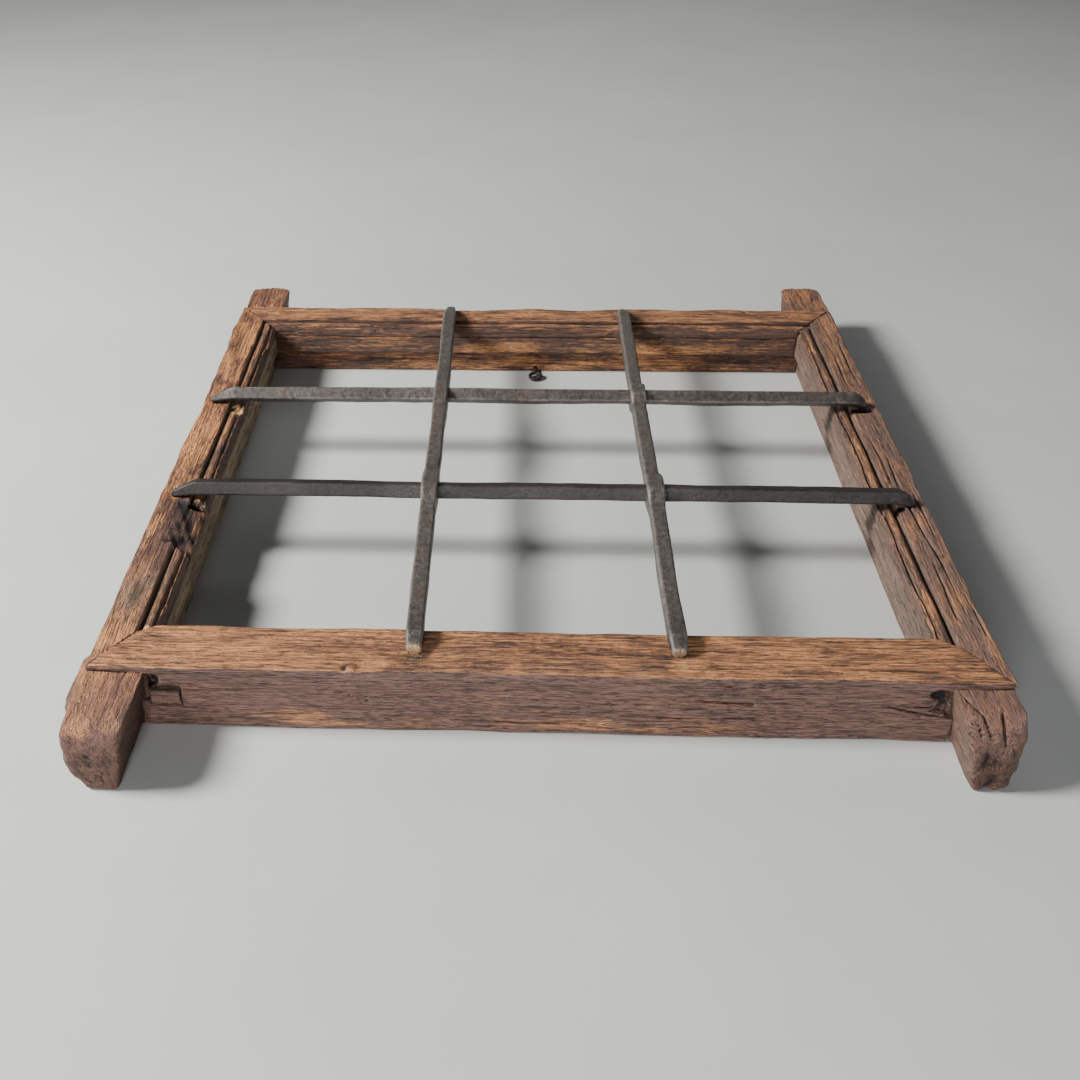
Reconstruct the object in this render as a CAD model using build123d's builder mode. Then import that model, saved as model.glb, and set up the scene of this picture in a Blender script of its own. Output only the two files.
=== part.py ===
from build123d import *
from math import cos, radians, sin
import os

# An old window frame with a forged iron grille, laid flat as a coarse soil sieve.
# X runs across the front, Y from front to back and Z up. The origin is on the floor,
# under the middle of the frame. The stiles run along Y and the rails along X.

# Driving dimensions, mm
WIDTH = 720.0            # outside to outside of the stiles
DEPTH = 660.0            # outside to outside of the rails
HEIGHT = 63.5            # thickness of the timber
STILE_W = 47.0           # width of a stile
RAIL_W = 52.0            # width of a rail
HORN_REACH = 70.0        # a horn's length past the outside of the rail
HORN_WORN = 20.0         # how much shorter the right front horn has worn
HORN_DROP = 6.0          # the horns' tops lie this far under the face
BACK_DROP = 2.5          # the same for the right back horn
BACK_WEAR = 2.0          # bevel at the end of a back horn
LEFT_WEAR, RIGHT_WEAR = 12.0, 20.0   # the same on the front horns
STILE_FACE = 31.0        # flat outer band of a stile's face
RAIL_FACE = 36.0         # flat outer band of the back rail's face
STRIP_W = 13.5           # moulded strip round the opening
STRIP_H = 13.5
STRIP_SEAT = 15.0        # depth of the seat that the strip lies in
BEAD_W = 9.0             # the strip's round bead
BEAD_SHOULDER = 11.5     # height at which the bead's round begins
QUIRK_W = 1.8            # groove beside the bead
QUIRK_FLOOR = 8.5
SLOPE_TOP = 12.0         # height of the small slope beyond the groove
REBATE_H = 27.0          # height of the rebate round the underside
STILE_REBATE = 7.5
RAIL_REBATE = 8.0
TENON_LOW, TENON_HIGH = 18.0, 38.0
TENON_NEAR, TENON_FAR = 290.0, 322.0
PEG_R, PEG_LENGTH, PEG_BEVEL = 5.0, 46.0, 1.5
PEG_SLACK = 0.1

BAR = 13.5               # side of the square iron bars
LONG_BAR_W = 14.5        # width of the bars that run front to back
LEFT_BAR_X, RIGHT_BAR_X = -101.0, 107.0
BACK_BAR_Y, FRONT_BAR_Y = 91.0, -88.0
BACK_BAR_ROLL = 45.0     # the back cross bar lies on its corner
FRONT_BAR_ROLL = -17.0   # the front one is rolled back a little
CROSS_FULL = 322.0       # half the length of a cross bar's untapered part
CROSS_TANG = 343.5       # centre of a cross bar's spike
CROSS_TIP = 6.0          # side of a cross bar's drawn-down tip
CROSS_TIP_UP = 4.3       # the tip's middle over the timber's face
EYE_WIDTH, EYE_HEIGHT = 18.0, 24.0   # a long bar where a cross bar passes through it
EYE_HALF = 30.0          # from a crossing to where the swelling starts
EYE_FLAT = 9.0           # half the length of the fully swelled part
EYE_SLACK = 0.2          # how much wider than the cross bar its hole is
LONG_FULL_BACK, LONG_FULL_FRONT = 290.0, -292.0      # a long bar's untapered part
LEFT_BACK, RIGHT_BACK = (324.0, 10.0), (319.0, 7.0)  # end and width of each long bar
LEFT_FRONT, RIGHT_FRONT = (-308.0, 12.0), (-307.0, 13.0)
BACK_TIP_H, FRONT_TIP_H = 5.5, 8.5
TANG = 7.0               # square spike at each bar's end, driven into the timber
TANG_DEPTH = 28.0
TANG_ROOT = 3.0          # how far up inside the bar the spike starts

BRAD_R, BRAD_HEAD_R, BRAD_HEAD_H, BRAD_LENGTH = 1.0, 1.8, 1.0, 24.0
BRAD_SLACK = 0.05
BRAD_SUNK = 0.8          # a brad's head lies this far under the crown of the bead
LATCH_X, LATCH_Y, LATCH_Z = 3.0, 266.0, 3.5   # middle of the latch eye's ring
LATCH_RING, LATCH_WIRE, LATCH_SHANK = 6.5, 2.1, 1.8   # ring's mean radius, and two wire radii
LATCH_TILT = 8.0         # the ring's slope, higher at the back
LATCH_IN = 306.0         # how far back the shank reaches
HOLLOW_BACK, HOLLOW_FRONT = -98.0, -166.0    # rotted stretch of the left stile
HOLLOW_LOW, HOLLOW_OUT = 50.0, 340.0         # its slope's height inside, and its edge on the face
BREAK_BACK, BREAK_FRONT = 5.0, 8.0   # slant of the broken strip at either end of it
PATCH_RIGHT, PATCH_LOW, PATCH_BACK = -288.0, 22.0, -316.0
PATCH_H, PATCH_SET, PATCH_BEVEL = 14.0, 2.0, 0.8
POCKET_H = 21.0          # the pocket that the patch lies in, open over the patch
POCKET_WIDER = 1.0
PIN_ROOM = 1.0           # how much deeper than its pin a blind hole is
PAST = 5.0               # how far a cutter runs past the surface that it cuts

# Lines worked out from them
SIDE = WIDTH / 2
END = DEPTH / 2
HORN_END = END + HORN_REACH
IN_X = SIDE - STILE_W    # upper inner face of a stile
IN_Y = END - RAIL_W      # upper inner face of a rail
SEAT_X = SIDE - STILE_FACE
SEAT_Y = END - RAIL_FACE
STRIP_X = IN_X + STRIP_W
STRIP_Y = IN_Y + STRIP_W
LAP_Z = HEIGHT - HORN_DROP
SEAT_Z = HEIGHT - STRIP_SEAT
CROWN_Z = SEAT_Z + STRIP_H
CROWN_OUT = BEAD_W / 2   # the bead's crown, from the strip's outer edge
PEG_X = SIDE - STILE_W / 2
PEG_Y = (TENON_NEAR + TENON_FAR) / 2
FRONT_SLANT = 9.0        # how far the front lap's slant runs along the stile's groove
FRONT_CUT = (SEAT_X, -IN_Y - FRONT_SLANT)    # where that slant meets the groove
STRIP_FRONT = (STRIP_X, -IN_Y - FRONT_SLANT * STRIP_W / (SEAT_X - IN_X))
BACK_BAR_Z = HEIGHT + BAR * sin(radians(45.0))       # half of a square's height on its corner
TURN = radians(abs(FRONT_BAR_ROLL))
FRONT_BAR_Z = HEIGHT + BAR / 2 * (cos(TURN) + sin(TURN))
LEFT_BACK_TANG = (LEFT_BAR_X, LEFT_BACK[0] - TANG / 2)
RIGHT_BACK_TANG = (RIGHT_BAR_X, RIGHT_BACK[0] - TANG / 2)
LEFT_FRONT_TANG = (LEFT_BAR_X, LEFT_FRONT[0] + TANG / 2)
RIGHT_FRONT_TANG = (RIGHT_BAR_X, RIGHT_FRONT[0] + TANG / 2)
LEAN = radians(LATCH_TILT)
STEM_Y = LATCH_Y + LATCH_RING * cos(LEAN)    # where the latch eye's shank leaves its ring
STEM_Z = LATCH_Z + LATCH_RING * sin(LEAN)

# Brads along each strip
BRADS = {
    "right": (-210.0, 0.0, 210.0),
    "back": (-200.0, 20.0, 200.0),
    "left_back": (-40.0, 160.0),
    "left_front": (-190.0, -260.0),
}


def plan_prism(points, low, high, mode=Mode.ADD):
    """A plan outline extruded between two heights, in the part being built."""
    with BuildSketch(Plane.XY.offset(low)) as outline:
        with BuildLine():
            Polyline(*points, close=True)
        make_face()
    extrude(outline.sketch, amount=high - low, mode=mode)


def block(x, y, z, mode=Mode.ADD):
    """A box between three pairs of limits, in the part being built."""
    with BuildSketch(Plane.XY.offset(z[0])) as base:
        with Locations(((x[0] + x[1]) / 2, (y[0] + y[1]) / 2)):
            Rectangle(x[1] - x[0], y[1] - y[0])
    extrude(base.sketch, amount=z[1] - z[0], mode=mode)


def span(side, near, far):
    """Limits on one side of the middle, the lower one first."""
    return tuple(sorted((side * near, side * far)))


def across(side, points):
    """Plan points given for the right, moved to the left where side is -1."""
    return [(side * x, y) for x, y in points]


def tang_holes(places):
    """Square holes for the spikes of the bars."""
    half = TANG / 2
    for x, y in places:
        hole = (HEIGHT - TANG_DEPTH, HEIGHT + PAST)
        block((x - half, x + half), (y - half, y + half), hole, Mode.SUBTRACT)


def peg_hole(x, y):
    with BuildSketch(Plane.XY) as mouth:
        with Locations((x, y)):
            Circle(PEG_R + PEG_SLACK)
    extrude(mouth.sketch, amount=PEG_LENGTH + PIN_ROOM, mode=Mode.SUBTRACT)


def brad_holes(places):
    """Shank holes and the seats of the sunk heads, along a strip's crown."""
    head_top = CROWN_Z - BRAD_SUNK
    with BuildSketch(Plane.XY.offset(head_top - BRAD_LENGTH)) as shanks:
        with Locations(*places):
            Circle(BRAD_R + BRAD_SLACK)
    extrude(shanks.sketch, amount=BRAD_LENGTH + PAST, mode=Mode.SUBTRACT)
    with BuildSketch(Plane.XY.offset(head_top - BRAD_HEAD_H)) as heads:
        with Locations(*places):
            Circle(BRAD_HEAD_R + BRAD_SLACK)
    extrude(heads.sketch, amount=PAST, mode=Mode.SUBTRACT)


def brad_places(strip):
    """Plan places of one strip's brads."""
    if strip == "back":
        return [(x, STRIP_Y - CROWN_OUT) for x in BRADS[strip]]
    side = 1 if strip == "right" else -1
    return [(side * (STRIP_X - CROWN_OUT), y) for y in BRADS[strip]]


def stile_blank(side, front_end):
    """A stile's rebated section, run the full length with both horns."""
    with BuildSketch(Plane.XZ.offset(-HORN_END)) as section:
        with BuildLine():
            Polyline((side * SIDE, 0), (side * SIDE, HEIGHT), (side * IN_X, HEIGHT),
                     (side * IN_X, REBATE_H), (side * (IN_X + STILE_REBATE), REBATE_H),
                     (side * (IN_X + STILE_REBATE), 0), close=True)
        make_face()
    extrude(section.sketch, amount=HORN_END - front_end)


def stile_joints(side, back_top, seats):
    """Laps, horn tops, strip seat, mortises, peg holes and bar seats cut in a stile."""
    out, end, near = SIDE + PAST, HORN_END + PAST, IN_X - PAST
    block(span(side, near, out), (END, end), (back_top, HEIGHT + PAST), Mode.SUBTRACT)
    back = ((SIDE, END), (SEAT_X, SEAT_Y), (near, SEAT_Y), (near, END))
    front = ((SIDE, -END), FRONT_CUT, (IN_X, -IN_Y), (near, -IN_Y), (near, -end),
             (out, -end), (out, -END))
    for outline in (back, front):
        plan_prism(across(side, outline), LAP_Z, HEIGHT + PAST, Mode.SUBTRACT)
    for seat in seats:
        plan_prism(across(side, seat), SEAT_Z, HEIGHT + PAST, Mode.SUBTRACT)
    for end in (-1, 1):
        block(span(side, near, out), span(end, TENON_NEAR, TENON_FAR),
              (TENON_LOW, TENON_HIGH), Mode.SUBTRACT)
        peg_hole(side * PEG_X, end * PEG_Y)
    tang_holes([(side * CROSS_TANG, y) for y in (BACK_BAR_Y, FRONT_BAR_Y)])


def wear_horn(stile, which, size, top=LAP_Z):
    """Bevel the top end edge of the front (0) or back (-1) horn."""
    tops = stile.edges().filter_by(Axis.X)
    tops = tops.filter_by(lambda edge: abs(edge.center().Z - top) < 0.1)
    chamfer(tops.sort_by(Axis.Y)[which], size)


def rotted_slope():
    """The stretch of the left stile that has crumbled to a slope where the strip is lost."""
    near, top = IN_X - PAST, HEIGHT + PAST
    with BuildSketch(Plane.XZ.offset(-HOLLOW_BACK)) as section:
        with BuildLine():
            Polyline((-near, HOLLOW_LOW), (-IN_X, HOLLOW_LOW), (-HOLLOW_OUT, HEIGHT),
                     (-HOLLOW_OUT, top), (-near, top), close=True)
        make_face()
    extrude(section.sketch, amount=HOLLOW_BACK - HOLLOW_FRONT, mode=Mode.SUBTRACT)


def make_left_stile():
    near = IN_X - PAST
    rear = ((near, HOLLOW_BACK), (SEAT_X, HOLLOW_BACK), (SEAT_X, SEAT_Y), (near, SEAT_Y))
    fore = ((near, -IN_Y), (IN_X, -IN_Y), FRONT_CUT, (SEAT_X, HOLLOW_FRONT), (near, HOLLOW_FRONT))
    with BuildPart() as stile:
        stile_blank(-1, -HORN_END)
        stile_joints(-1, LAP_Z, (rear, fore))
        brad_holes(brad_places("left_back") + brad_places("left_front"))
        rotted_slope()
        wear_horn(stile, -1, BACK_WEAR)
        wear_horn(stile, 0, LEFT_WEAR)
    return stile


def make_right_stile():
    near = IN_X - PAST
    seat = ((near, -IN_Y), (IN_X, -IN_Y), FRONT_CUT, (SEAT_X, SEAT_Y), (near, SEAT_Y))
    with BuildPart() as stile:
        stile_blank(1, HORN_WORN - HORN_END)
        stile_joints(1, HEIGHT - BACK_DROP, (seat,))
        brad_holes(brad_places("right"))
        wear_horn(stile, -1, BACK_WEAR, HEIGHT - BACK_DROP)
        wear_horn(stile, 0, RIGHT_WEAR)
    return stile


def rail_body(end):
    """A rail between the stiles, with its tenons, long back shoulders and rebate."""
    block((-IN_X, IN_X), span(end, IN_Y, END), (0, HEIGHT))
    block((-IN_X, IN_X), span(end, IN_Y - PAST, IN_Y + RAIL_REBATE), (0, REBATE_H), Mode.SUBTRACT)
    for side in (-1, 1):
        block(span(side, IN_X, IN_X + STILE_REBATE), span(end, IN_Y + RAIL_REBATE, END), (0, REBATE_H))
        block(span(side, IN_X, SIDE), span(end, TENON_NEAR, TENON_FAR), (TENON_LOW, TENON_HIGH))
        peg_hole(side * PEG_X, end * PEG_Y)


def make_back_rail():
    with BuildPart() as rail:
        rail_body(1)
        lap = ((IN_X, SEAT_Y), (SEAT_X, SEAT_Y), (SIDE, END), (IN_X, END))
        for side in (-1, 1):
            plan_prism(across(side, lap), LAP_Z, HEIGHT)
        block((-IN_X, IN_X), (IN_Y - PAST, SEAT_Y), (SEAT_Z, HEIGHT + PAST), Mode.SUBTRACT)
        tang_holes([LEFT_BACK_TANG, RIGHT_BACK_TANG])
        brad_holes(brad_places("back"))
        with BuildSketch(Plane.XZ.offset(-IN_Y)):
            with Locations((LATCH_X, STEM_Z)):
                Circle(LATCH_SHANK + PEG_SLACK)
        extrude(amount=IN_Y - LATCH_IN - PIN_ROOM, mode=Mode.SUBTRACT)
    return rail


def make_front_rail():
    with BuildPart() as rail:
        rail_body(-1)
        lap = ((IN_X, -IN_Y), FRONT_CUT, (SIDE, -END), (IN_X, -END))
        for side in (-1, 1):
            plan_prism(across(side, lap), LAP_Z, HEIGHT)
        tang_holes([LEFT_FRONT_TANG, RIGHT_FRONT_TANG])
        block((-IN_X, PATCH_RIGHT + POCKET_WIDER), (-END - PAST, PATCH_BACK),
              (PATCH_LOW, PATCH_LOW + POCKET_H), Mode.SUBTRACT)
    return rail


def make_patch():
    """The block let into the front rail's face beside the left horn."""
    with BuildPart() as patch:
        block((-IN_X, PATCH_RIGHT), (-END + PATCH_SET, PATCH_BACK), (PATCH_LOW, PATCH_LOW + PATCH_H))
        chamfer(patch.faces().sort_by(Axis.Y)[0].edges(), PATCH_BEVEL)
    return patch


def strip_section(place, way):
    """Section of the moulded strip on a plane: round bead, groove and small slope."""
    groove = BEAD_W + QUIRK_W
    with BuildSketch(place) as section:
        with BuildLine():
            Polyline((0, BEAD_SHOULDER), (0, 0), (way * STRIP_W, 0), (way * STRIP_W, QUIRK_FLOOR),
                     (way * groove, SLOPE_TOP), (way * groove, QUIRK_FLOOR),
                     (way * BEAD_W, QUIRK_FLOOR), (way * BEAD_W, BEAD_SHOULDER))
            ThreePointArc((way * BEAD_W, BEAD_SHOULDER), (way * CROWN_OUT, STRIP_H), (0, BEAD_SHOULDER))
        make_face()
    return section.sketch


def make_side_strip(name, outline):
    """A strip along one stile, trimmed to its plan outline."""
    side = 1 if name == "right" else -1
    with BuildPart() as strip:
        place = Plane(origin=(side * STRIP_X, STRIP_Y, SEAT_Z), x_dir=(1, 0, 0), z_dir=(0, -1, 0))
        extrude(strip_section(place, -side), amount=STRIP_Y - STRIP_FRONT[1])
        plan_prism(across(side, outline), SEAT_Z - PAST, HEIGHT, Mode.INTERSECT)
        brad_holes(brad_places(name))
    return strip


def make_back_strip():
    with BuildPart() as strip:
        place = Plane(origin=(-STRIP_X, STRIP_Y, SEAT_Z), x_dir=(0, 1, 0), z_dir=(1, 0, 0))
        extrude(strip_section(place, -1), amount=2 * STRIP_X)
        outline = [(-IN_X, IN_Y), (IN_X, IN_Y), (STRIP_X, STRIP_Y), (-STRIP_X, STRIP_Y)]
        plan_prism(outline, SEAT_Z - PAST, HEIGHT, Mode.INTERSECT)
        brad_holes(brad_places("back"))
    return strip


def section_at(origin, along, wide, high, roll=0.0):
    """A rectangle that stands square to a bar, with its width level before any roll."""
    x_dir = (0, 1, 0) if along[0] else (1, 0, 0)
    with BuildSketch(Plane(origin=origin, x_dir=x_dir, z_dir=along)) as section:
        Rectangle(wide, high, rotation=roll)
    return section.sketch


def tang(x, y):
    """The spike at a bar's end."""
    half = TANG / 2
    block((x - half, x + half), (y - half, y + half), (HEIGHT - TANG_DEPTH, HEIGHT + TANG_ROOT))


def make_cross_bar(y, roll, middle):
    """A bar from stile to stile, drawn down at both ends."""
    with BuildPart() as bar:
        near_end = section_at((-CROSS_FULL, y, middle), (1, 0, 0), BAR, BAR, roll)
        extrude(near_end, amount=2 * CROSS_FULL)
        for side in (-1, 1):
            full = section_at((side * CROSS_FULL, y, middle), (1, 0, 0), BAR, BAR, roll)
            end = (side * (CROSS_TANG + TANG / 2), y, HEIGHT + CROSS_TIP_UP)
            tip = section_at(end, (1, 0, 0), CROSS_TIP, CROSS_TIP, roll)
            loft([full, tip], ruled=True)
            tang(side * CROSS_TANG, y)
    return bar


def make_long_bar(x, back, front):
    """A bar from rail to rail, swelled round the two cross bars that pass through it."""
    (back_y, back_w), (front_y, front_w) = back, front
    level = HEIGHT + BAR / 2
    stations = [(back_y, back_w, BACK_TIP_H, HEIGHT + BACK_TIP_H / 2),
                (LONG_FULL_BACK, LONG_BAR_W, BAR, level)]
    for y, middle in ((BACK_BAR_Y, BACK_BAR_Z), (FRONT_BAR_Y, FRONT_BAR_Z)):
        stations.append((y + EYE_HALF, LONG_BAR_W, BAR, level))
        stations.append((y + EYE_FLAT, EYE_WIDTH, EYE_HEIGHT, middle))
        stations.append((y - EYE_FLAT, EYE_WIDTH, EYE_HEIGHT, middle))
        stations.append((y - EYE_HALF, LONG_BAR_W, BAR, level))
    stations.append((LONG_FULL_FRONT, LONG_BAR_W, BAR, level))
    stations.append((front_y, front_w, FRONT_TIP_H, HEIGHT + FRONT_TIP_H / 2))
    with BuildPart() as bar:
        loft([section_at((x, y, z), (0, -1, 0), wide, high) for y, wide, high, z in stations], ruled=True)
        for y, roll, middle in ((BACK_BAR_Y, BACK_BAR_ROLL, BACK_BAR_Z),
                                (FRONT_BAR_Y, FRONT_BAR_ROLL, FRONT_BAR_Z)):
            size = BAR + EYE_SLACK
            hole = section_at((x - EYE_WIDTH, y, middle), (1, 0, 0), size, size, roll)
            extrude(hole, amount=2 * EYE_WIDTH, mode=Mode.SUBTRACT)
        for y in (back_y - TANG / 2, front_y + TANG / 2):
            tang(x, y)
    return bar


def make_peg(x, y):
    """A draw-bore peg, driven up from below through stile and tenon."""
    with BuildPart() as peg:
        with BuildSketch(Plane.XY):
            with Locations((x, y)):
                Circle(PEG_R)
        extrude(amount=PEG_LENGTH)
        chamfer(peg.faces().sort_by(Axis.Z)[-1].edges(), PEG_BEVEL)
    return peg


def make_brads(name):
    """The brads that hold one strip, as separate nails."""
    with BuildPart() as brads:
        head_top = CROWN_Z - BRAD_SUNK
        for x, y in brad_places(name):
            with BuildSketch(Plane.XY.offset(head_top - BRAD_LENGTH)):
                with Locations((x, y)):
                    Circle(BRAD_R)
            extrude(amount=BRAD_LENGTH)
            with BuildSketch(Plane.XY.offset(head_top - BRAD_HEAD_H)):
                with Locations((x, y)):
                    Circle(BRAD_HEAD_R)
            extrude(amount=BRAD_HEAD_H)
    return brads


def make_latch_eye():
    """A ring, almost flat, on a shank driven low into the back rail."""
    place = Plane(origin=(LATCH_X, LATCH_Y, LATCH_Z), x_dir=(1, 0, 0), z_dir=(0, -sin(LEAN), cos(LEAN)))
    with BuildPart() as eye:
        with BuildSketch(Plane(origin=place.origin, x_dir=(1, 0, 0), z_dir=-place.y_dir)):
            with Locations((LATCH_RING, 0)):
                Circle(LATCH_WIRE)
        revolve(axis=Axis(place.origin, place.z_dir))
        with BuildSketch(Plane.XZ.offset(-STEM_Y)):
            with Locations((LATCH_X, STEM_Z)):
                Circle(LATCH_SHANK)
        extrude(amount=STEM_Y - LATCH_IN)
    return eye


def save(name, piece):
    piece.part.label = name
    export_step(piece.part, f"parts/{name}.step")


os.makedirs("parts", exist_ok=True)

save("stile_left", make_left_stile())
save("stile_right", make_right_stile())
save("rail_back", make_back_rail())
save("rail_front", make_front_rail())
save("patch_block", make_patch())

# strip outlines are given for the right side; the left strip has lost its middle
whole = ((IN_X, -IN_Y), STRIP_FRONT, (STRIP_X, STRIP_Y), (IN_X, IN_Y))
rear = ((IN_X, HOLLOW_BACK + BREAK_BACK), (STRIP_X, HOLLOW_BACK), (STRIP_X, STRIP_Y), (IN_X, IN_Y))
fore = ((IN_X, -IN_Y), STRIP_FRONT, (STRIP_X, HOLLOW_FRONT - BREAK_FRONT), (IN_X, HOLLOW_FRONT))
save("strip_right", make_side_strip("right", whole))
save("strip_left_back", make_side_strip("left_back", rear))
save("strip_left_front", make_side_strip("left_front", fore))
save("strip_back", make_back_strip())

save("bar_cross_back", make_cross_bar(BACK_BAR_Y, BACK_BAR_ROLL, BACK_BAR_Z))
save("bar_cross_front", make_cross_bar(FRONT_BAR_Y, FRONT_BAR_ROLL, FRONT_BAR_Z))
save("bar_long_left", make_long_bar(LEFT_BAR_X, LEFT_BACK, LEFT_FRONT))
save("bar_long_right", make_long_bar(RIGHT_BAR_X, RIGHT_BACK, RIGHT_FRONT))

for side, across_name in ((-1, "left"), (1, "right")):
    for end, end_name in ((-1, "front"), (1, "back")):
        save(f"peg_{end_name}_{across_name}", make_peg(side * PEG_X, end * PEG_Y))

for name in BRADS:
    save(f"brads_{name}", make_brads(name))

save("latch_eye", make_latch_eye())
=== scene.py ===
import functools
import itertools
import math

import bpy
import numpy as np
from mathutils import Matrix, Vector


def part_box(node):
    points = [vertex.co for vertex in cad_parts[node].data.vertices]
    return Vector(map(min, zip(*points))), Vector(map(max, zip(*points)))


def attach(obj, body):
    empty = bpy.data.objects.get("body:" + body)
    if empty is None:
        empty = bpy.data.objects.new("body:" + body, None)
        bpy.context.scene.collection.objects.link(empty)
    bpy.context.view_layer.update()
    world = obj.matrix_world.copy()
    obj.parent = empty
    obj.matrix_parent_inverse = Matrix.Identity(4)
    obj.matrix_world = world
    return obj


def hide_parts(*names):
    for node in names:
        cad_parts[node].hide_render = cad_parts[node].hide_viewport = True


# An old window frame with a forged grille, laid flat as a soil sieve. Each visible piece is
# carved as a signed distance on a grid, in millimetres, and then skinned with quads. Both
# stiles are carved as if on the right and both rails as if at the back; the left stile and
# the front rail are then turned over. The floor, the lights and the camera are in metres.

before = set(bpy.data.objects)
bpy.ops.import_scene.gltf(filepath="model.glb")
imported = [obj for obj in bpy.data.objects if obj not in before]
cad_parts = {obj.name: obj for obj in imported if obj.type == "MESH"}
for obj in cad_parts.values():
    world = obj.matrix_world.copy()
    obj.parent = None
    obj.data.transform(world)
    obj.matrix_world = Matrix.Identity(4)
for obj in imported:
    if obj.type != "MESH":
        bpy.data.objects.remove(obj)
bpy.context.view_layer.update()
MM = 0.001

# ---- sizes, from the frame ----


def box_mm(node):
    """Lowest and highest corner of a CAD node, in millimetres."""
    low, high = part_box(node)
    return low / MM, high / MM


def middle_mm(node):
    """Middle of a CAD node's box, in millimetres."""
    low, high = box_mm(node)
    return (low + high) / 2


stile_low, stile_high = box_mm("stile_right")
rail_low, rail_high = box_mm("rail_back")
strip_low, strip_high = box_mm("strip_right")
patch_low, patch_high = box_mm("patch_block")
peg_low, peg_high = box_mm("peg_back_right")

# Inner and outer face of a stile in X, then of a rail in Y
IN_X, SIDE, HEIGHT = stile_low.x, stile_high.x, stile_high.z
IN_Y, END = rail_low.y, rail_high.y
BACK_HORN, RIGHT_HORN = stile_high.y, stile_low.y
LEFT_HORN = box_mm("stile_left")[0].y
STRIP_X, SEAT_Z, CROWN_Z = strip_high.x, strip_low.z, strip_high.z
STRIP_FRONT, STRIP_Y = strip_low.y, box_mm("strip_back")[1].y
HOLLOW_BACK = box_mm("strip_left_back")[0].y  # the left strip is lost between these two
HOLLOW_FRONT = box_mm("strip_left_front")[1].y
PEG_X, PEG_Y = middle_mm("peg_back_right").x, middle_mm("peg_back_right").y
PEG_R, PEG_TOP = (peg_high.x - peg_low.x) / 2, peg_high.z
BACK_BAR, FRONT_BAR = middle_mm("bar_cross_back").y, middle_mm("bar_cross_front").y

# The joints' own sizes, as in the CAD
SEAT_X, SEAT_Y = SIDE - 31.0, END - 36.0  # outer edge of the seat of the moulded strips
LAP_Z = HEIGHT - 6.0  # tops of the horns, under the rails' laps
RAISED = 3.5  # the right back horn is sunk less by this
FRONT_SLANT = 9.0  # run of the front laps along the strip
REBATE_H, REBATE_X, REBATE_Y = 27.0, 7.5, 8.0
TENON = ((290.0, 322.0), (18.0, 38.0))  # limits along Y, and in height
HOLLOW_LOW, HOLLOW_OUT = 50.0, 340.0  # lowest height and outer edge of the rot
BAR, TANG = 13.5, 7.0  # widths of a cross bar and of the bars' spikes
TANG_X, TANG_FLOOR = 343.5, HEIGHT - 28.0
BACK_ROLL, FRONT_ROLL = math.radians(45), math.radians(-17)
LATCH_RING, LATCH_WIRE, LATCH_TILT = 6.5, 2.1, math.radians(8)

GAP = 0.2  # half the open line at a joint
RING = 2.7  # width of a growth ring
BEAD_R = 4.5  # the strips' section: radius of the bead, then the quirk and the small slope
QUIRK_Z, QUIRK_END, SLOPE_Z, STRIP_WIDE = 8.3, 10.6, 12.3, 13.5

FINE, LONG = 1.1, 2.3  # grid steps across and along the grain
STRIP_FINE, STRIP_LONG = 0.85, 1.9
BAR_FINE, BAR_LONG = 0.95, 1.7
PITH = {1: (300, 30), -1: (400, 10)}  # middle of the tree in X and Z, beside each stile
PAST = 9.0  # how far a cut runs on beyond a surface
DIAGONAL = 0.707  # makes a sum of two distances one distance


# ---- noise and distances ----


def cell_value(cell, seed):
    """A random number from -1 to 1 for each whole-number cell of space."""
    mixed = cell[:, 0] * 73856093 ^ cell[:, 1] * 19349663 ^ cell[:, 2] * 83492791 ^ seed * 40503
    mixed = (mixed ^ (mixed >> 13)) * 1274126177
    return ((mixed ^ (mixed >> 16)) & 0xFFFF) / 32767.5 - 1.0


def noise(points, size, seed):
    """Smooth noise from -1 to 1, with lumps of the given size along X, Y and Z."""
    place = points / np.array(size, float)
    cell = np.floor(place).astype(np.int64)
    part = place - cell
    part = part * part * (3 - 2 * part)
    total = np.zeros(len(points))
    for corner in itertools.product((0, 1), repeat=3):
        weight = np.prod(np.where(corner, part, 1 - part), axis=1)
        total += weight * cell_value(cell + np.array(corner), seed)
    return total


def drift(values, size, seed):
    """Noise along one axis, in the same shape as the values."""
    points = np.zeros((values.size, 3))
    points[:, 1] = values.ravel()
    return noise(points, (1, size, 1), seed).reshape(values.shape)


def step_up(values, low, high):
    """Smooth change from 0 at low to 1 at high; low may be the greater."""
    part = np.clip((values - low) / (high - low), 0, 1)
    return part * part * (3 - 2 * part)


def near(values, middle, reach):
    """1 at the middle, falling to 0 at the reach."""
    return step_up(np.abs(values - middle), reach, 0)


def smooth_max(a, b, wear):
    """The greater of two distances, with their corner rounded over the wear."""
    if np.max(wear) <= 0:
        return np.maximum(a, b)
    overlap = np.maximum(wear - np.abs(a - b), 0) / wear
    return np.maximum(a, b) + overlap * overlap * wear / 4


def slot(a, b, points, half_width):
    """Distance in a plane from a crack along some points, thinnest at its ends."""
    nearest = None
    count = len(points) - 1
    for i, ((a0, b0), (a1, b1)) in enumerate(zip(points, points[1:])):
        run_a, run_b = a1 - a0, b1 - b0
        part = ((a - a0) * run_a + (b - b0) * run_b) / (run_a**2 + run_b**2)
        part = np.clip(part, 0, 1)
        gap = np.hypot(a - a0 - part * run_a, b - b0 - part * run_b)
        whole = (i + part) / count
        gap = gap - half_width * (0.25 + 0.75 * np.sin(np.pi * whole))
        nearest = gap if nearest is None else np.minimum(nearest, gap)
    return nearest


def both(*distances):
    """Distance from what several shapes share."""
    return functools.reduce(np.maximum, distances)


def grain_size(along, across, length):
    """The size of noise lumps that are drawn out along one axis, given as a letter."""
    return [length if axis == along else across for axis in "XYZ"]


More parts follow.
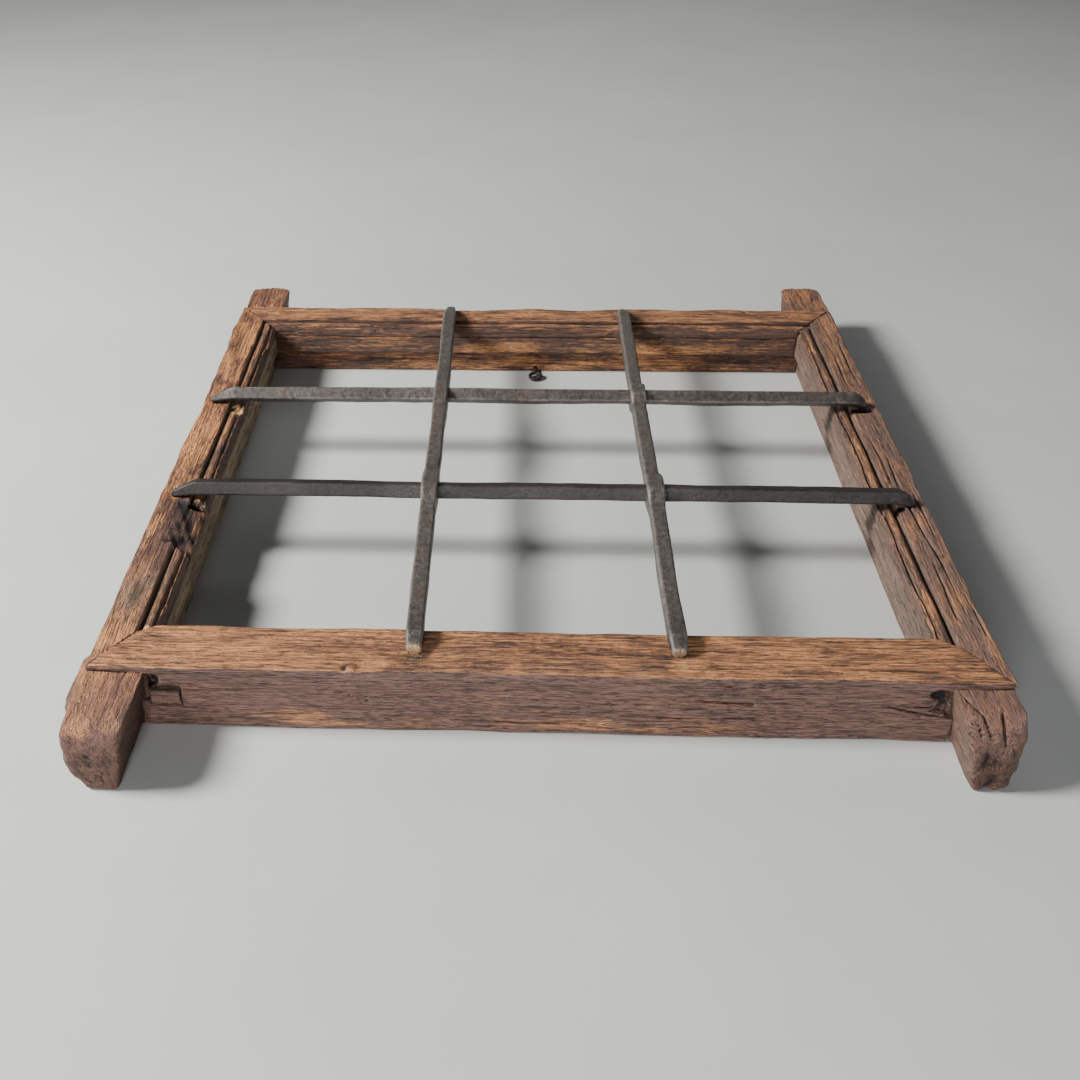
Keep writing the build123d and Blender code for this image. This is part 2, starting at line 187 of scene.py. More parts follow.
class Field:
    """Signed distance on a grid, in millimetres; negative is material."""

    def __init__(self, low, high, step):
        self.axes = [np.arange(a - 2.5 * s, b + 3.5 * s, s) for a, b, s in zip(low, high, step)]
        self.x, self.y, self.z = np.meshgrid(*self.axes, indexing="ij", sparse=True)
        self.value = np.full([len(axis) for axis in self.axes], -1e3)

    def keep(self, distance, wear=0.0):
        """Keeps what is inside a shape."""
        self.value = smooth_max(self.value, distance, wear)

    def cut(self, distance, wear=0.0):
        """Takes a shape away."""
        self.value = smooth_max(self.value, -distance, wear)

    def add(self, distance):
        self.value = np.minimum(self.value, distance)

    def box(self, x, y, z):
        """Distance from a box between three pairs of limits."""
        sides = [np.maximum(low - axis, axis - high)
                 for axis, (low, high) in zip((self.x, self.y, self.z), (x, y, z))]
        return both(*sides)

    def ball(self, middle, radii):
        """Rough distance from an ellipsoid."""
        parts = [((axis - m) / r) ** 2
                 for axis, m, r in zip((self.x, self.y, self.z), middle, radii)]
        return (np.sqrt(parts[0] + parts[1] + parts[2]) - 1) * min(radii)

    def crack_top(self, points, half_width, depth, wear=0.6):
        """A crack in the top, along points in plan."""
        line = slot(self.x, self.y, points, half_width)
        self.cut(both(line, HEIGHT - depth - self.z), wear)

    def crack_face(self, points, half_width, depth, wear=0.5):
        """A crack in the outer face of a rail, along points in X and height."""
        line = slot(self.x, self.z, points, half_width)
        self.cut(both(line, END - self.y - depth), wear)

    def spike_hole(self, x, y):
        """A square hole from the top for the spike of a bar."""
        sides = [(middle - TANG / 2, middle + TANG / 2) for middle in (x, y)]
        self.cut(self.box(*sides, (TANG_FLOOR, HEIGHT + PAST)))

    def spike(self, x, y):
        """The square spike under the end of a bar, a little thinner than its hole."""
        half = TANG / 2 - 0.3
        sides = [(middle - half, middle + half) for middle in (x, y)]
        self.add(self.box(*sides, (TANG_FLOOR + 0.5, HEIGHT + 1)))

    def rough(self, *layers, where=None):
        """Adds noise layers of (size, amount, seed) close to the surface."""
        close = np.abs(self.value) < 5.0
        if where is not None:
            close &= where > 0.01
        index = np.nonzero(close)
        points = np.stack([axis[i] for axis, i in zip(self.axes, index)], axis=1)
        change = sum(amount * noise(points, size, seed) for size, amount, seed in layers)
        if where is not None:
            change = change * np.broadcast_to(where, self.value.shape)[index]
        self.value[index] += change

    def skin(self):
        """Surface nets: a vertex in each cell that the surface crosses, joined into quads."""
        inside = self.value < 0
        size = np.array(inside.shape) - 1
        corners = list(itertools.product((0, 1), repeat=3))
        filled = sum(inside[a:a + size[0], b:b + size[1], c:c + size[2]].astype(np.int8)
                     for a, b, c in corners)
        active = (filled > 0) & (filled < 8)
        cell = np.argwhere(active)
        number = np.full(tuple(size), -1)
        number[active] = np.arange(len(cell))
        value = [self.value[tuple((cell + corner).T)] for corner in corners]
        total, hits = np.zeros((len(cell), 3)), np.zeros(len(cell))
        for one, two in itertools.combinations(range(8), 2):
            run = np.array(corners[two]) - corners[one]
            if np.abs(run).sum() != 1:
                continue
            crossed = (value[one] < 0) != (value[two] < 0)
            part = value[one][crossed] / (value[one][crossed] - value[two][crossed])
            total[crossed] += np.array(corners[one]) + part[:, None] * run
            hits[crossed] += 1
        place = cell + total / hits[:, None]
        points = np.stack([np.interp(place[:, i], np.arange(len(axis)), axis)
                           for i, axis in enumerate(self.axes)], axis=1)
        quads = [self.quads_along(inside, number, axis) for axis in range(3)]
        return points, np.concatenate(quads)

    @staticmethod
    def quads_along(inside, number, axis):
        """The quads round the grid edges along one axis that the surface crosses."""
        second, third = (axis + 1) % 3, (axis + 2) % 3
        here = np.moveaxis(inside, (axis, second, third), (0, 1, 2))
        cells = np.moveaxis(number, (axis, second, third), (0, 1, 2))
        low, high = here[:-1, 1:-1, 1:-1], here[1:, 1:-1, 1:-1]
        i, j, k = np.nonzero(low != high)
        quad = np.stack([cells[i, j, k], cells[i, j + 1, k], cells[i, j + 1, k + 1],
                         cells[i, j, k + 1]], axis=1)
        out = low[i, j, k]
        quad[~out] = quad[~out][:, ::-1]
        return quad


# ---- from a field to a piece ----


SOFTENING = 0.4  # share of a vertex's place taken from its neighbours
FLOOR_CLEARANCE = 0.1  # lowest height of any vertex
RELIEF_ROUNDS = 10  # rounds of smoothing that the relief is measured against
RELIEF_LIMITS = (-0.6, 1.0)  # depth and height, in millimetres, that still change the look


def neighbour_mean(points, edges, links):
    """Each vertex moved to the middle of its neighbours."""
    total = np.empty_like(points)
    for axis in range(3):
        total[:, axis] = (np.bincount(edges[:, 0], points[edges[:, 1], axis], len(points))
                          + np.bincount(edges[:, 1], points[edges[:, 0], axis], len(points)))
    return total / links[:, None]


def read(collection, name, width, kind=float):
    """A property of all vertices or edges, as rows of numbers."""
    values = np.empty(len(collection) * width, np.float32 if kind is float else np.int32)
    collection.foreach_get(name, values)
    return values.reshape(-1, width).astype(kind)


def piece(name, field, nodes, material, flip=(1, 1, 1), layers=(), tint=None):
    """Skins a field, adds fine relief, stores its wear and colour masks and places it."""
    points, quads = field.skin()
    points = points * np.array(flip)
    if np.prod(flip) < 0:
        quads = quads[:, ::-1]
    mesh = bpy.data.meshes.new(name)
    mesh.from_pydata(points.tolist(), [], quads.tolist())
    mesh.validate()
    mesh.update()
    normals = read(mesh.vertex_normals, "vector", 3)
    edges = read(mesh.edges, "vertices", 2, int)
    links = np.maximum(np.bincount(edges.ravel(), minlength=len(points)), 1)
    for size, amount, seed in layers:
        points = points + normals * (amount * noise(points, size, seed))[:, None]
    points = points * (1 - SOFTENING) + neighbour_mean(points, edges, links) * SOFTENING
    points[:, 2] = np.maximum(points[:, 2], FLOOR_CLEARANCE)
    smoothed = points
    for _ in range(RELIEF_ROUNDS):
        smoothed = neighbour_mean(smoothed, edges, links)
    relief = ((points - smoothed) * normals).sum(axis=1)
    masks = {"relief": np.clip(relief, *RELIEF_LIMITS)}
    if tint:
        masks.update(tint(points, normals))
    for mask, values in masks.items():
        layer = mesh.attributes.new(mask, "FLOAT", "POINT")
        layer.data.foreach_set("value", np.broadcast_to(values, len(points)).astype(np.float32))
    mesh.vertices.foreach_set("co", (points * MM).astype(np.float32).ravel())
    mesh.polygons.foreach_set("use_smooth", np.ones(len(mesh.polygons), bool))
    mesh.update()
    mesh.materials.append(material)
    thing = bpy.data.objects.new(name, mesh)
    bpy.context.scene.collection.objects.link(thing)
    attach(thing, "root")
    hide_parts(*nodes)
    return thing


# ---- materials ----


class Nodes:
    """A short way to write a node tree. Inputs may be numbers, colours or other sockets."""

    def __init__(self, name):
        self.material = bpy.data.materials.new(name)
        self.material.use_nodes = True
        self.tree = self.material.node_tree
        self.shader = self.tree.nodes["Principled BSDF"]

    def put(self, socket, value):
        if isinstance(value, bpy.types.NodeSocket):
            self.tree.links.new(value, socket)
        else:
            socket.default_value = value

    def node(self, kind, inputs=(), output=0, **settings):
        made = self.tree.nodes.new("ShaderNode" + kind)
        for key, value in settings.items():
            setattr(made, key, value)
        for key, value in dict(inputs).items():
            self.put(made.inputs[key], value)
        return made.outputs[output]

    def math(self, operation, a, b=0.0, c=0.0):
        return self.node("Math", {0: a, 1: b, 2: c}, operation=operation)

    def weighted(self, *terms, plus=0.0):
        """The sum of some values, each times its weight, and of one more value."""
        total = plus
        for value, weight in terms:
            total = self.math("MULTIPLY_ADD", value, weight, total)
        return total

    def scaled(self, vector, size):
        """The vector in units of a size in millimetres along X, Y and Z."""
        scale = [1 / (s * MM) for s in size]
        return self.node("Mapping", {"Vector": vector, "Scale": scale})

    def noise(self, vector, detail=3.0, roughness=0.6, distortion=0.0):
        return self.node("TexNoise", {"Vector": vector, "Scale": 1.0, "Detail": detail,
                                      "Roughness": roughness, "Distortion": distortion})

    def ramp(self, value, low, high):
        """0 at low to 1 at high, eased."""
        return self.node("MapRange", {"Value": value, "From Min": low, "From Max": high},
                         interpolation_type="SMOOTHSTEP")

    def mix(self, factor, a, b):
        return self.node("Mix", {0: factor, 6: a, 7: b}, output=2, data_type="RGBA")

    def paint(self, base, over, mask, strength):
        """A colour over the base where the mask is high, up to a strength."""
        return self.mix(self.math("MULTIPLY", mask, strength), base, over)

    def mask(self, name):
        return self.node("Attribute", output=2, attribute_name=name)


def colour(red, green, blue):
    """A linear colour from the usual 0 to 255 values."""
    def linear(value):
        value /= 255
        return value / 12.92 if value <= 0.04045 else ((value + 0.055) / 1.055) ** 2.4
    return (linear(red), linear(green), linear(blue), 1.0)


# The darkest brown serves for pores, cracks, soiling and painted shade
SOOT_AND_SHADE = colour(30, 24, 22)
DARK_BROWN = colour(52, 38, 33)
UMBER = colour(72, 51, 44)
RED_BROWN = colour(124, 86, 70)
TAN = colour(224, 154, 100)
MAUVE = colour(120, 82, 70)
PLUM = colour(124, 95, 85)
OLIVE = colour(146, 124, 111)
# A paler olive grey than OLIVE: painted light for the left stile's shaded inner face
OLIVE_PAINTED_LIGHTER = colour(206, 182, 148)
PALE = colour(234, 188, 126)


def wood(name, along, pith, patina, warmth=0.0):
    """Old oiled hardwood. Growth rings run round the pith, so faces and ends both show them."""
    n = Nodes(name)
    place = n.node("TexCoord", output=3)

    def grain(across, length, *look):
        return n.noise(n.scaled(place, grain_size(along, across, length)), *look)

    # The patterns that the colours and the bumps share, from 0 to 1
    flat = [0.0 if axis == along else 1 / (RING * MM) for axis in "XYZ"]
    centre = [-p * f * MM for p, f in zip(pith, flat)]
    radial = n.node("Mapping", {"Vector": place, "Scale": flat, "Location": centre})
    distance = n.node("VectorMath", {0: radial}, output=1, operation="LENGTH")
    ring = n.math("PINGPONG", n.weighted((grain(26, 120, 2.0), 5.0), plus=distance), 0.5)
    late = n.ramp(ring, 0.33, 0.5)
    dash = grain(0.9, 8, 3.0, 0.7, 0.4)
    streak = grain(1.1, 48, 3.0, 0.6, 0.15)
    fibre = grain(2.0, 60, 4.0, 0.66, 0.3)
    strand = grain(5.5, 120, 4.0, 0.6, 0.2)
    grit = grain(1.5, 2.6, 3.0, 0.7)
    blotch = grain(16, 52, 3.0, 0.6, 0.4)
    pore = n.ramp(grain(0.8, 9, 2.0, 0.5), 0.55, 0.64)
    contour = grain(3.4, 95, 3.0, 0.55, 0.2)
    tone = n.weighted((fibre, 0.35), (dash, 0.45), (grit, 0.20))

    # Brown, greyed by age, with worn places that show the lighter wood
    base = n.mix(n.ramp(tone, 0.36, 0.62), UMBER, RED_BROWN)
    uneven = n.weighted((n.ramp(strand, 0.3, 0.6), 0.35), plus=0.65)
    base = n.paint(base, patina, n.mask("grey"), uneven)
    exposed = n.weighted((fibre, 0.9), (blotch, 1.1), (dash, 0.8), (n.mask("bare"), 0.75))
    base = n.paint(base, TAN, n.ramp(exposed, 1.42 - warmth, 1.86 - warmth), 0.92)
    plain = n.mask("plain")
    base = n.paint(base, MAUVE, plain, 0.8)

    # Dark grain lines, soiling and painted shade in the hollows, pores and fine cracks
    line = n.math("MAXIMUM", n.ramp(streak, 0.53, 0.66), n.math("MULTIPLY", late, 0.6))
    line = n.math("MULTIPLY", line, n.weighted((plain, -0.7), plus=1.0))
    base = n.paint(base, DARK_BROWN, line, 0.8)
    # Painted shade: low relief and the dark mask turn hollows and the dark-masked places
    # near-black
    grime_and_shade = n.weighted((n.mask("relief"), -0.8), (strand, 0.5), plus=n.mask("dark"))
    base = n.mix(n.ramp(grime_and_shade, 0.40, 1.0), base, SOOT_AND_SHADE)
    base = n.paint(base, SOOT_AND_SHADE, pore, 0.5)
    crack = n.ramp(n.math("ABSOLUTE", n.math("SUBTRACT", contour, 0.5)), 0.016, 0.005)
    crack = n.math("MULTIPLY", crack, n.ramp(strand, 0.40, 0.52))
    base = n.paint(base, SOOT_AND_SHADE, crack, 0.9)

    # Pale chips on worn places and at fresh breaks
    laid_bare = n.ramp(exposed, 1.60 - warmth, 1.95 - warmth)
    chip = n.math("MULTIPLY", n.ramp(grit, 0.57, 0.66), laid_bare)
    broken = n.ramp(n.weighted((dash, 0.8), plus=n.mask("fresh")), 0.72, 0.98)
    chip = n.math("MAXIMUM", n.math("MULTIPLY", chip, 0.85), n.math("MULTIPLY", broken, 0.9))
    n.put(n.shader.inputs["Base Color"], n.mix(chip, base, PALE))

    n.put(n.shader.inputs["Roughness"], n.weighted((fibre, 0.35), plus=0.42))
    height = n.weighted((tone, 1.6), (strand, 0.7), (pore, -0.5), (line, -0.25), (crack, -0.5))
    bump = n.node("Bump", {"Height": height, "Strength": 0.9, "Distance": 2.6 * MM})
    n.put(n.shader.inputs["Normal"], bump)
    return n.material


IRON_DARK = colour(52, 47, 44)
IRON_MID = colour(101, 95, 91)
IRON_BARE = colour(142, 135, 130)
IRON_RUST = colour(94, 74, 62)
IRON_BLACK = colour(28, 25, 24)
IRON_SOILED_AND_SHADED = colour(51, 47, 45)
IRON_SPLINTER = colour(206, 158, 112)


def iron(name):
    """Old forged iron: dark scale, worn on its edges, with small pits and a little rust."""
    n = Nodes(name)
    place = n.node("TexCoord", output=3)

    def mottle(size, *look):
        return n.noise(n.scaled(place, (size, size, size)), *look)

    broad = mottle(28, 4.0, 0.6)
    scale = mottle(4.5, 5.0, 0.6, 0.8)
    fine = mottle(0.9, 3.0, 0.6)
    pit = n.ramp(mottle(1.7, 2.0, 0.5), 0.62, 0.72)
    hammered = n.weighted((scale, 0.55), (fine, 0.45))
    base = n.mix(n.ramp(hammered, 0.34, 0.66), IRON_DARK, IRON_MID)
    base = n.paint(base, IRON_RUST, n.ramp(broad, 0.52, 0.72), 0.45)
    worn = n.ramp(n.weighted((scale, 0.6), plus=n.mask("relief")), 0.45, 1.0)
    base = n.paint(base, IRON_BARE, worn, 0.5)
    base = n.paint(base, IRON_BARE, n.ramp(fine, 0.66, 0.72), 0.5)
    base = n.paint(base, IRON_DARK, pit, 0.7)
    # The dark mask: soiling towards the long bars' tips, and painted shade on the cross bars and
    # the latch eye
    soiled_and_shaded = n.mix(n.ramp(hammered, 0.38, 0.62), IRON_BLACK, IRON_SOILED_AND_SHADED)
    base = n.mix(n.mask("dark"), base, soiled_and_shaded)
    rubbed = n.ramp(n.weighted((fine, 0.9), plus=n.mask("fresh")), 0.85, 1.1)
    n.put(n.shader.inputs["Base Color"], n.paint(base, IRON_SPLINTER, rubbed, 0.8))
    n.shader.inputs["Metallic"].default_value = 0.3
    n.put(n.shader.inputs["Roughness"], n.weighted((scale, 0.35), plus=0.30))
    height = n.weighted((fine, 0.5), (pit, -0.6), plus=scale)
    bump = n.node("Bump", {"Height": height, "Strength": 0.7, "Distance": 1.0 * MM})
    n.put(n.shader.inputs["Normal"], bump)
    return n.material


# ---- the timber ----


def back_mitre(u):
    """Y of the edge of a back lap, by the distance from the middle line."""
    return np.interp(u, (SEAT_X, SIDE), (SEAT_Y, END))


def front_mitre(u):
    """Y of the edge of a front lap, which runs along the strip at first."""
    return np.interp(u, (IN_X, SEAT_X, SIDE), (-IN_Y, -IN_Y - FRONT_SLANT, -END))


def wear(bare_top, grey_side, spots=(), plain=0.0, grey_top=0.0, grey_out=1.0, horn_clean=0.0):
    """Masks for timber whose top is worn and whose sides are greyer.

    Outer and lower faces have only the share grey_out of the grey, and horns lose the share
    horn_clean. Each spot is a mask, a middle, a reach along X, Y and Z and an amount; some
    dark spots are painted shade.
    """
    def tint(points, normals):
        x, y, z = points.T
        facing_x, facing_y, facing_z = normals.T
        up = step_up(facing_z, 0.35, 0.85) * step_up(z, 42, 52)
        ends = step_up(np.abs(facing_y), 0.4, 0.9) * step_up(np.abs(y), END + 20, END + 35)
        hidden = step_up(np.maximum(np.sign(x) * facing_x, -facing_z), 0, 0.5)
        kept = 1 - (1 - grey_out) * hidden
        kept = kept * (1 - horn_clean * step_up(np.abs(y), IN_Y + 4, IN_Y + 16))
        masks = {"bare": bare_top * up - 0.3 * grey_side * (1 - up),
                 "dark": 0.28 * ends,
                 "grey": grey_side * (1 - up) * (1 - ends) * kept + grey_top * up,
                 "fresh": 0 * up,
                 "plain": np.maximum(plain * up, 0.6 * ends)}
        for mask, middle, reach, amount in spots:
            distance = (points - np.array(middle)) / np.array(reach)
            masks[mask] = masks[mask] + amount * np.exp(-(distance**2).sum(axis=1))
        return {mask: np.clip(values, -0.5, 1) for mask, values in masks.items()}
    return tint


def ridges(along, seed, amount=1.0):
    """Fine relief along the grain, as layers of size, amount and seed."""
    return ((grain_size(along, 2.4, 55), 0.24 * amount, seed),
            (grain_size(along, 6.0, 130), 0.35 * amount, seed + 1),
            (grain_size(along, 14, 60), 0.3 * amount, seed + 2),
            (grain_size(along, 1.8, 9), 0.13 * amount, seed + 3))


def stile(side, horn, seed):
    """A stile as if on the right; the left one is turned over afterwards."""
    f = Field((IN_X, horn, 0), (SIDE + PAST, BACK_HORN, HEIGHT), (FINE, LONG, FINE))
    horns = step_up(np.abs(f.y), END - 2, END + 10)
    outer = SIDE - 0.6 + 0.7 * drift(f.y, 75, seed) + 0.6 * drift(f.y, 17, seed + 1)
    if side < 0:
        outer = outer + left_bulges(f)
    arris = 3.2 + 2.2 * drift(f.y, 33, seed + 2) + 1.8 * horns
    f.keep(f.x - outer)
    f.keep(f.z - (HEIGHT + 0.25 * drift(f.y, 60, seed + 3)), arris)
    narrowing = 0.19 * step_up(np.abs(f.y), END - 5, END - 1)  # of the horns, towards the floor
    f.keep(IN_X - f.x + narrowing * (LAP_Z - f.z), 2.0)
    f.keep(-f.z, 2.5)
    f.cut(both(f.x - IN_X - REBATE_X, f.z - REBATE_H, np.abs(f.y) - END + 1), 1.5)
    slope, inside = rotted_slope(f) if side < 0 else (SEAT_Z, 0)
    shape_laps(f, RAISED if side > 0 else 0, SEAT_Z + (slope - SEAT_Z) * inside)
    (near_y, far_y), tenon_z = TENON
    for limits in ((near_y, far_y), (-far_y, -near_y)):
        f.cut(f.box((IN_X - PAST, SIDE + 30), limits, tenon_z))
    for y in (-PEG_Y, PEG_Y):
        f.cut(peg_distance(f, PEG_X, y, PEG_R + 0.4))
    shape_horn_ends(f, side, horn)
    for y in (BACK_BAR, FRONT_BAR):
        f.spike_hole(TANG_X, y)
    if side > 0:
        right_stile_damage(f)
    else:
        left_stile_damage(f)
    f.rough(((9, 22, 9), 0.45, seed + 5), ((3, 9, 3), 0.3, seed + 6), where=horns)
    f.rough(((7, 30, 7), 0.35, seed + 7))
    return f


def left_bulges(f):
    """How far the left stile's outer face swells at its front horn and bends elsewhere."""
    swell = step_up(f.y, -300, -312) * (3 + 5 * step_up(f.y, -369, -362))
    swell = swell * step_up(f.z, LAP_Z + 1, LAP_Z - 5) - 1.6 * near(f.y, -361, 5)
    return swell + 3 * near(f.y, 270, 60) - 2 * near(f.y, 75, 60)


def closed(u):
    """Half the open line of a front lap, which closes up towards the outside."""
    return GAP - 0.7 * step_up(u, SEAT_X + 4, SIDE - 12)


def rotted_slope(f):
    """Height of the crumbled slope where the left strip is lost, and how far a place is in it."""
    inside = step_up(f.y, HOLLOW_FRONT - 4, HOLLOW_FRONT + 10)
    inside = inside * step_up(f.y, HOLLOW_BACK + 3, HOLLOW_BACK - 6)
    lumps = 1.6 * drift(f.y + f.x, 13, 75) + 1.0 * drift(f.y * 0.7 - f.x * 1.6, 7, 76)
    rise = (HEIGHT - HOLLOW_LOW) / (HOLLOW_OUT - IN_X)
    return HOLLOW_LOW + (f.x - IN_X) * rise + lumps, inside


def shape_laps(f, raised, seat_floor):
    """The seat of the strip and the sunk tops of the horns, with the mitred edges of the laps."""
    beyond_back = (f.y - back_mitre(f.x)) * 0.65 + GAP
    beyond_front = (front_mitre(f.x) - f.y) * 0.65 + closed(f.x)
    back_top = LAP_Z + raised * step_up(f.y, END + 0.3, END + 1.3)
    f.cut(-np.minimum(beyond_back, f.z - back_top), 0.6)
    f.cut(-np.minimum(beyond_front, f.z - LAP_Z), 0.6)
    seat = np.minimum(np.minimum(SEAT_X - f.x, f.z - seat_floor),
                      np.minimum(SEAT_Y - f.y, f.y - front_mitre(f.x)))
    f.cut(-seat, 0.9)


def shape_horn_ends(f, side, horn):
    """Worn ends: bevelled and rounded over, and broken away under the left front one."""
    f.keep(f.y - BACK_HORN + 0.3, 2.0)
    f.keep(horn - f.y, 4.0)
    nose = 11.0 if side < 0 else 21.0  # run of the bevel on the top of the front end
    f.keep((horn + nose - f.y + f.z - LAP_Z) * DIAGONAL, 7.0)
    # The outer corner of the front end, worn off by a plane and rounded over upright
    if side < 0:
        f.keep((f.x - 352) * 0.73 - f.z * 0.5 - (f.y + 390) * 0.45, 2.5)
        f.keep((f.x - f.y - SIDE + horn + 1) * DIAGONAL, 4.0)
    else:
        f.keep((f.x - f.y - SIDE + horn + 10) * DIAGONAL, 8.0)
        f.keep((f.x - 352) * 0.94 - f.z * 0.25 - (f.y + 374) * 0.3, 5.0)
    f.keep((f.x + f.y - SIDE - BACK_HORN + 6) * DIAGONAL, 4.0)
    f.keep((f.y - f.x + IN_X - BACK_HORN + 5) * DIAGONAL, 5.0)
    rings = np.hypot(f.x - PITH[side][0], f.z - PITH[side][1]) * math.tau / (2 * RING)
    wavy_rings = rings + 3 * drift(f.x * 0.6 + f.z, 9, 9)
    f.value = f.value + 0.13 * np.sin(wavy_rings) * near(f.y, horn, 16)
    f.value = f.value + 0.25 * np.sin(rings) * near(f.y, BACK_HORN, 12)
    if side > 0:
        f.rough(((7, 20, 7), 1.3, 73), ((3, 12, 5), 0.7, 74), where=near(f.y, horn, 30))
        crack_floor = 26.0
        for points in (((316, -332), (321, -346), (328, -358), (333, -373)),
                       ((345, -345), (341, -358), (342, -372)), ((322, -362), (326, -371))):
            f.cut(both(slot(f.x, f.y, points, 0.8), crack_floor - f.z), 0.8)
    else:
        for points in (((341, 8), (347, 13)), ((333, 9), (335, 16))):
            f.cut(both(slot(f.x, f.z, points, 0.35), np.abs(f.y - horn) - 7), 0.4)


def right_stile_damage(f):
    """A long shake beside the strip and hollows broken out under the ends of the bars."""
    long_shake = ((347, 52), (343, -13), (341, -66), (343, -133), (346.5, -176), (346, -232),
                  (348, -262))
    f.crack_top(long_shake, 0.9, 4, 0.8)
    shorter = (((352, 250), (350, 180), (352, 120)), ((338, 235), (339, 190), (337, 130)),
               ((335, 40), (336.5, -10), (335, -60)), ((351, -40), (352.5, -110), (351, -170)),
               ((338, -150), (339, -205), (337, -262)), ((353, -215), (354, -250), (355, -296)))
    for points in shorter:
        f.crack_top(points, 0.6, 3)
    f.cut(f.ball((336, BACK_BAR - 6, HEIGHT), (15, 6, 7)), 2.0)
    f.cut(f.ball((323, FRONT_BAR - 8, HEIGHT - 1), (15, 7, 8)), 2.0)


def left_stile_damage(f):
    """The rotted stretch where the strip is lost."""
    slope, inside = rotted_slope(f)
    f.cut(both(slope - f.z, 5 - 10 * inside), 2.5)
    rot = (HOLLOW_BACK + HOLLOW_FRONT) / 2
    f.rough(((5, 22, 5), 0.8, 71), ((3, 9, 3), 0.3, 72),
            where=near(f.y, rot, 48) * step_up(f.x, 342, 334) * step_up(f.z, 40, 48))


def rail(end, seed):
    """A rail as if at the back; the front one is turned over afterwards."""
    f = Field((-SIDE, IN_Y, 0), (SIDE, END + 2, HEIGHT), (LONG, FINE, FINE))
    out_x = np.abs(f.x)
    wander = 0.9 * drift(f.x, 80, seed) + 0.4 * drift(f.x, 24, seed + 1)
    arris = 3.5 + 2.0 * drift(f.x, 45, seed + 2)
    if end > 0:
        arris = arris + 6 * near(f.x, -85, 70) + 4 * near(f.x, 60, 40)
        wander = wander - 1.5 * near(f.x, -85, 70)
    top = f.z - HEIGHT - 0.2 * drift(f.x, 70, seed + 3)
    body = smooth_max(f.y - END + 0.5 - wander, top, arris)
    body = smooth_max(body, IN_Y - f.y, 2.5)
    body = smooth_max(body, -f.z, 1.5)
    body = smooth_max(body, -both(f.y - IN_Y - REBATE_Y, f.z - REBATE_H), 2.0)
    f.value = both(body, out_x - IN_X + 0.2)
    f.add(both(body, out_x - IN_X - REBATE_X, f.z - REBATE_H + 0.4))
    mitre = back_mitre(out_x) if end > 0 else -front_mitre(out_x)
    gap = GAP if end > 0 else closed(out_x)
    longer = 2.0 * (f.x < 0) if end < 0 else 0.0
    lap = both(body, LAP_Z + 0.3 - f.z, out_x - SIDE + 0.3 - longer)
    f.add(smooth_max(lap, (mitre - f.y) * 0.65 + gap, 0.6))
    tenon_y, tenon_z = [(low + 0.4, high - 0.4) for low, high in TENON]
    f.add(f.box((-SIDE + 1, SIDE - 1), tenon_y, tenon_z))
    for x in (-PEG_X, PEG_X):
        f.cut(peg_distance(f, x, PEG_Y, PEG_R + 0.4))
    if end > 0:
        back_rail_detail(f)
    else:
        front_rail_detail(f)
    f.rough(((30, 7, 7), 0.4, seed + 7))
    return f


def long_bar_holes(f, end):
    """The holes in a rail for the spikes of the long bars."""
    for node in ("bar_long_left", "bar_long_right"):
        low, high = box_mm(node)
        bar_end = high.y if end > 0 else -low.y
        f.spike_hole((low.x + high.x) / 2, bar_end - TANG / 2)


def back_rail_detail(f):
    """The seat of the strip, a shake in from the outer edge and worn places along it."""
    seat = f.box((-IN_X - 30, IN_X + 30), (IN_Y - PAST, SEAT_Y), (SEAT_Z, HEIGHT + PAST))
    f.cut(seat, 1.4)
    f.crack_top(((249, 332), (258, 318), (269, 309.5), (306, 309)), 0.8, 5)
    f.crack_top(((150, 318), (205, 315), (250, 316)), 0.6, 3)
    long_bar_holes(f, 1)
    low, high = box_mm("latch_eye")
    shank_hole = np.hypot(f.x - (low.x + high.x) / 2, f.z - high.z + LATCH_WIRE) - 2.2
    f.cut(both(shank_hole, f.y - high.y))
    f.rough(((5, 4, 4), 0.8, 81), where=near(f.x, -80, 75) * step_up(f.y, END - 12, END - 3))


def front_rail_detail(f):
    """The let-in block, the knot hole and split at the right, gouges, and small shakes."""
    f.cut(f.box((patch_low.x - 1, patch_high.x + 1), (-patch_high.y, END + PAST),
                (patch_low.z - 0.5, patch_low.z + 21)), 0.8)
    f.cut(f.ball((-309, END, 50), (7, 9, 7)), 1.5)
    f.cut(f.ball((306, END, 50.5), (9, 8, 6)), 1.5)
    f.cut(f.ball((309, END, 38), (7, 4, 8)), 2.0)
    f.crack_face(((262, 37.5), (278, 33.5), (292, 30), (304, 28.5), (318, 26)), 1.1, 7)
    f.crack_face(((284, 36.5), (296, 36), (306, 38)), 0.8, 5)
    f.crack_face(((296, 33), (306, 33), (316, 30)), 0.8, 6)
    f.rough(((4, 4, 2.2), 1.4, 83), ((2, 3, 1.4), 0.6, 84),
            where=near(f.x, 309, 17) * near(f.z, 43, 17))
    f.rough(((4, 4, 3), 1.2, 85), where=near(f.x, -309, 9) * near(f.z, 49, 10))
    gouges = (((-160, 34), (-155, 33)), ((-152, 38), (-150, 31)),
              ((-147, 37), (-143, 35), (-146, 32)), ((-140, 39), (-137, 35), (-139, 30)),
              ((-145, 30), (-142, 29)))
    for points in gouges:
        f.crack_face(points, 0.9, 2.2)
    shakes = (((135, 56), (146, 54), (158, 51)), ((115, 40), (140, 37), (165, 36)),
              ((-80, 12), (10, 11), (90, 13)), ((60, 22), (130, 20), (210, 24)))
    for points in shakes:
        f.crack_face(points, 0.6, 3)
    f.cut(f.ball((-150, END - 2, HEIGHT + 1), (8, 6, 3)), 1.5)
    knot = f.ball((-149, END - 4, HEIGHT - 3), (5, 5, 4.2))
    f.value = -smooth_max(-f.value, -both(knot, f.y - END - 0.3), 1.0)
    long_bar_holes(f, -1)
    f.rough(((6, 3, 3), 0.7, 87), where=near(f.x, 165, 60) * step_up(f.y, END - 9, END - 2))


